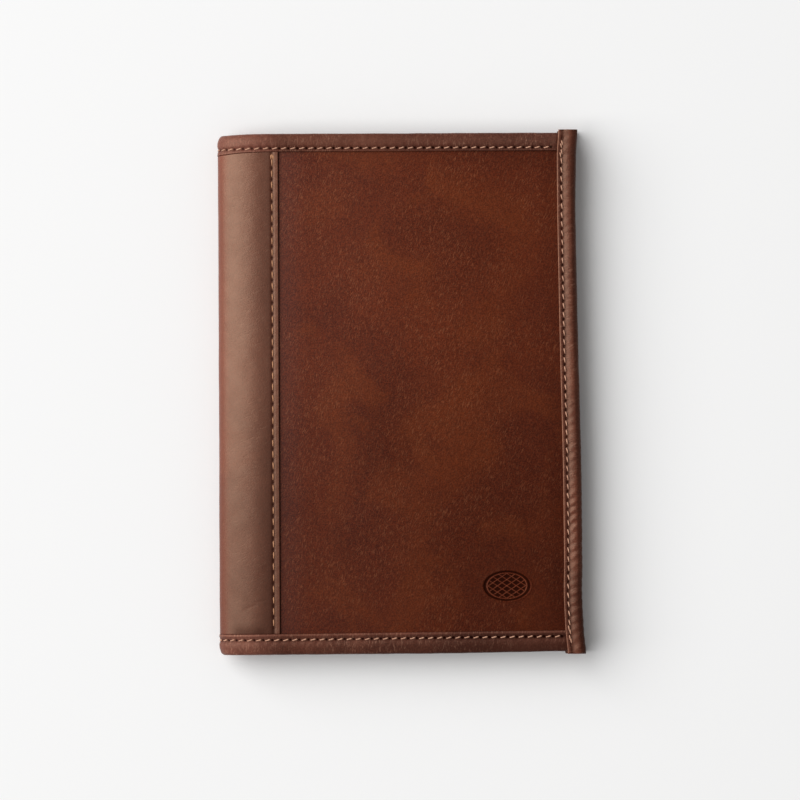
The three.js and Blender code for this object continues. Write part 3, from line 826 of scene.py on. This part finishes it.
def outer_leather(side):
    across, along = LAYER_COLUMNS, spread(LAYER_TAIL, 1.4, LAYER_HEAD)
    if side == "front":
        half, tall = MARK_WIDTH / 2 + MARK_ROOM, MARK_HEIGHT / 2 + MARK_ROOM
        across = spread(0, FIRST_STEP, FIRST_STEP, LAYER_STEP, TO_S + MARK_X - half, MARK_STEP,
                        TO_S + MARK_X + half, 1.2, flat_reach(0))
        along = spread(LAYER_TAIL, 1.3, MARK_Y - tall, MARK_STEP, MARK_Y + tall, 1.4, LAYER_HEAD)
    layer(f"leather_{side}", side, LEATHER, LEATHER_LOOK, across, along, LAYER_ROWS,
          surface=leather_surface(side == "front"), reach=flat_reach,
          stands_for=nodes(side, f"{side}_leather", "spine_leather"))


def inner_cloth(side):
    lining = layer(f"lining_{side}", side, LINING, LINING_LOOK, LAYER_COLUMNS, LAYER_ROWS, LAYER_ROWS,
                   reach=flat_reach, stands_for=nodes(side, f"{side}_lining", "spine_lining"))


def spine_band(side):
    """Half of the band, with a finer mesh along its edges and its seam."""
    end = TO_S + BAND_END_X
    across = spread(0, FIRST_STEP, FIRST_STEP, 1.0, TO_S + 12, 0.6, TO_S + 18, 0.3, TO_S + 25.5, 0.12,
                    end - 0.04, 0.04, end)
    along = np.concatenate([[BAND_TAIL, BAND_TAIL + 0.05, BAND_TAIL + 0.15],
                            spread(BAND_TAIL + 0.3, 0.42, BAND_HEAD - 0.3),
                            [BAND_HEAD - 0.15, BAND_HEAD - 0.05, BAND_HEAD]])
    layer(f"spine_band_{side}_half", side, BAND, BAND_LOOK, across, along, spread(BAND_TAIL, 3.0, BAND_HEAD),
          surface=band_surface, short=tongue,
          stands_for=nodes(side, f"spine_band_{side}", "spine_band_middle"))


def head_and_tail(side):
    """The bindings at the head and the tail, with their seams."""
    for at_head, where in ((True, "top"), (False, "bottom")):
        edge_binding(f"{where}_edge_{side}", side, at_head, BINDING_LOOK,
                     stands_for=nodes(side, f"{where}_binding_{side}", f"{where}_binding_spine"))
        edge_seam(f"{where}_thread_{side}", side, at_head, EDGE_THREAD,
                  stands_for=nodes(side, f"{where}_seam_{side}", f"{where}_seam_spine"))


def fore_edge_seam(side):
    """The seam of a fore-edge binding, sewn a second time over its last two stitches at each end."""
    middles = run(STRIP_TAIL + 0.8, STRIP_HEAD - 0.8, EDGE_PITCH)
    jitter = np.random.default_rng(51).normal(0, 0.05, (2, len(middles)))
    line = fore_edge(middles) - STRIP_SEAM + TO_S
    lean, half = SLANT * 0.8, STITCH * EDGE_PITCH / 2
    starts = np.stack([line + lean + jitter[0], middles - half], -1)
    ends = np.stack([line - lean + jitter[1], middles + half], -1)
    again = [0, 1, -2, -1]
    beside = np.array([(-0.5, 1.3), (-0.55, 1.5), (-0.5, -1.3), (-0.45, -1.2)])
    deep = np.full(len(middles) + len(again), VALLEY - THREAD_REST)
    deep[-len(again):] -= 0.04
    sew(f"fore_edge_thread_{side}", side, np.concatenate([starts, starts[again] + beside]),
        np.concatenate([ends, ends[again] + beside]), deep, EDGE_THREAD, bends=False, square=True,
        stands_for=(f"fore_edge_seam_{side}",))
    sew(f"fore_edge_thread_{side}_inside", side, starts, ends, INNER_THREAD, EDGE_THREAD, bends=False,
        square=True, inner=True)


def band_seam(side):
    """The seam of the spine band, finished at the head with short stitches side by side."""
    middles = run(BAND_TAIL + 0.6, BAND_HEAD - 0.6, BAND_PITCH)
    line = TO_S + BAND_SEAM_X + np.random.default_rng(52).normal(0, 0.05, (2, len(middles)))
    lean, half = 0.06, STITCH * BAND_PITCH / 2
    starts = np.stack([line[0] + lean, middles - half], -1)
    ends = np.stack([line[1] - lean, middles + half], -1)
    tack = np.array([(-0.42, 2.8), (0.10, 3.1), (0.55, 2.7)])
    shorter = (0, 0.9)
    starts = np.concatenate([starts, starts[-1] + tack])
    ends = np.concatenate([ends, ends[-1] + tack - shorter])
    sew(f"spine_band_thread_{side}", side, starts, ends, BAND[0] + BAND_VALLEY - 0.10, BAND_THREAD,
        bends=False, stands_for=(f"spine_band_seam_{side}",))


def sleeve(side):
    def surface(s, y):
        return SLEEVE[0] + rounding(s - TO_S - SLEEVE_X, 0.3), 0.0

    mouth = TO_S + SLEEVE_X
    layer(f"sleeve_{side}", side, SLEEVE, SLEEVE_LOOK, spread(mouth, 0.1, mouth + 0.5, 2.0, flat_reach(0)),
          LAYER_ROWS, LAYER_ROWS, surface=surface, reach=flat_reach, bends=False,
          stands_for=(f"{side}_sleeve",))


def notebook_card(side):
    def surface(s, y):
        return CARD[0] + 0.5 * rounding(np.minimum(y - CARD_TAIL, CARD_HEAD - y), 0.25), 0.0

    rows = spread(CARD_TAIL, 0.15, CARD_TAIL + 0.3, 3.0, CARD_HEAD - 0.3, 0.15, CARD_HEAD)
    layer(f"notebook_card_{side}", side, CARD, CARD_LOOK,
          spread(0, FIRST_STEP, FIRST_STEP, LAYER_STEP, TO_S + CARD_END_X), rows, rows, surface=surface,
          square=True, stands_for=nodes(side, f"notebook_cover_{side}", "notebook_spine"))


def leaves(side):
    """Half of the notebook's pages, from its cover to the middle of the closed notebook. Every level is an
    outline of the block, up along its tail edge and back along its head edge, and its leaves are a little
    uneven."""
    levels = 44
    first, last = PAGES_LOW[0] - LOW[0], PAGES_HIGH[0] - LOW[0]
    top = THICKNESS - PAGES_LOW[2]
    curve_x, curve_z = round_spine(np.radians(np.linspace(80, 0, 60)), CARD[1] + CLEARANCE)
    x = spread(first, 0.5, SPINE_RUN, 4, SLEEVE_X - SLEEVE_RAMP, 0.5, SLEEVE_X, 5, last)
    bottom = np.interp(x, curve_x, curve_z) + sag(x)
    on_sleeve = np.clip((x - SLEEVE_X + SLEEVE_RAMP) / (SLEEVE_RAMP - 0.3), 0, 1)
    bottom = bottom + (SLEEVE[1] - CARD[1]) * on_sleeve
    uneven = np.random.default_rng(61).normal(0, 0.045, (3, levels + 1, 1))
    uneven[:, [0, -1]] = 0.06
    share = np.linspace(0, 1, levels + 1)[:, None]
    z = bottom + (top - bottom) * share
    z = np.concatenate([z, z[:, ::-1]], 1)
    column = np.concatenate([x, x[::-1]])[None, :]
    x = column - np.abs(uneven[0]) * (column > last - 0.01)
    y = np.where(np.arange(column.size) < column.size // 2, PAGES_LOW[1] + np.abs(uneven[1]),
                 PAGES_HIGH[1] - np.abs(uneven[2]))
    x, y, z = np.broadcast_arrays(x, y, z)
    pattern = np.stack([x * SIDES[side], y, z], -1) * MM
    points = np.stack([x + LOW[0], y, THICKNESS - z if side == "front" else z], -1) * MM
    shell(f"leaves_{side}", side, points, pattern, np.zeros(x.shape), PAGES_LOOK, ladder=True,
          stands_for=(f"pages_{side}",))


for side in SIDES:
    outer_leather(side)
    inner_cloth(side)
    spine_band(side)
    head_and_tail(side)
    fore_edge_binding(f"fore_edge_strip_{side}", side, STRIP_LOOK, stands_for=(f"fore_edge_binding_{side}",))
    fore_edge_seam(side)
    band_seam(side)
    sleeve(side)
    notebook_card(side)
for side in SIDES:
    leaves(side)


# ---- the table, the light and the camera ----

def floor():
    data = bpy.data.meshes.new("table_top")
    reach, z = 3.0, -0.0001
    data.from_pydata([(-reach, -reach, z), (reach, -reach, z), (reach, reach, z), (-reach, reach, z)], [],
                     [(0, 1, 2, 3)])
    material = bpy.data.materials.new("table_top")
    material.use_nodes = True
    shader = material.node_tree.nodes["Principled BSDF"]
    shader.inputs["Base Color"].default_value = rgb(0.90, 0.90, 0.90)
    shader.inputs["Roughness"].default_value = 0.9
    shader.inputs["Specular IOR Level"].default_value = 0.1
    data.materials.append(material)
    table = bpy.data.objects.new("table_top", data)
    bpy.context.scene.collection.objects.link(table)


def area_light(name, at, size, power):
    """A rectangular light, aimed at the middle of the table."""
    light = bpy.data.lights.new(name, "AREA")
    light.shape, light.size, light.size_y, light.energy = "RECTANGLE", *size, power
    lamp = bpy.data.objects.new(name, light)
    lamp.location = at
    lamp.rotation_euler = (-Vector(at)).to_track_quat("-Z", "Y").to_euler()
    bpy.context.scene.collection.objects.link(lamp)


def room_light(strength):
    world = bpy.data.worlds.new("room")
    bpy.context.scene.world = world
    world.use_nodes = True
    background = world.node_tree.nodes["Background"]
    background.inputs["Color"].default_value = rgb(1.0, 0.995, 0.985)
    background.inputs["Strength"].default_value = strength


def camera_above(height, view_width):
    """A camera this high over the cover's top face, which sees view_width of it from side to side."""
    data = bpy.data.cameras.new("camera")
    data.sensor_width = 36
    data.lens = data.sensor_width * height / view_width
    camera = bpy.data.objects.new("camera", data)
    camera.location = (-0.0005, -0.0033, HIGH[2] * MM + height)
    camera.rotation_euler = (0, 0, math.radians(-0.25))
    bpy.context.scene.collection.objects.link(camera)
    bpy.context.scene.camera = camera


floor()
area_light("window", (-3.75, 1.30, 4.1), (6.8, 6.8), 490)
room_light(0.27)
camera_above(2.5, 0.3445)
bpy.context.scene.view_settings.view_transform = "Standard"
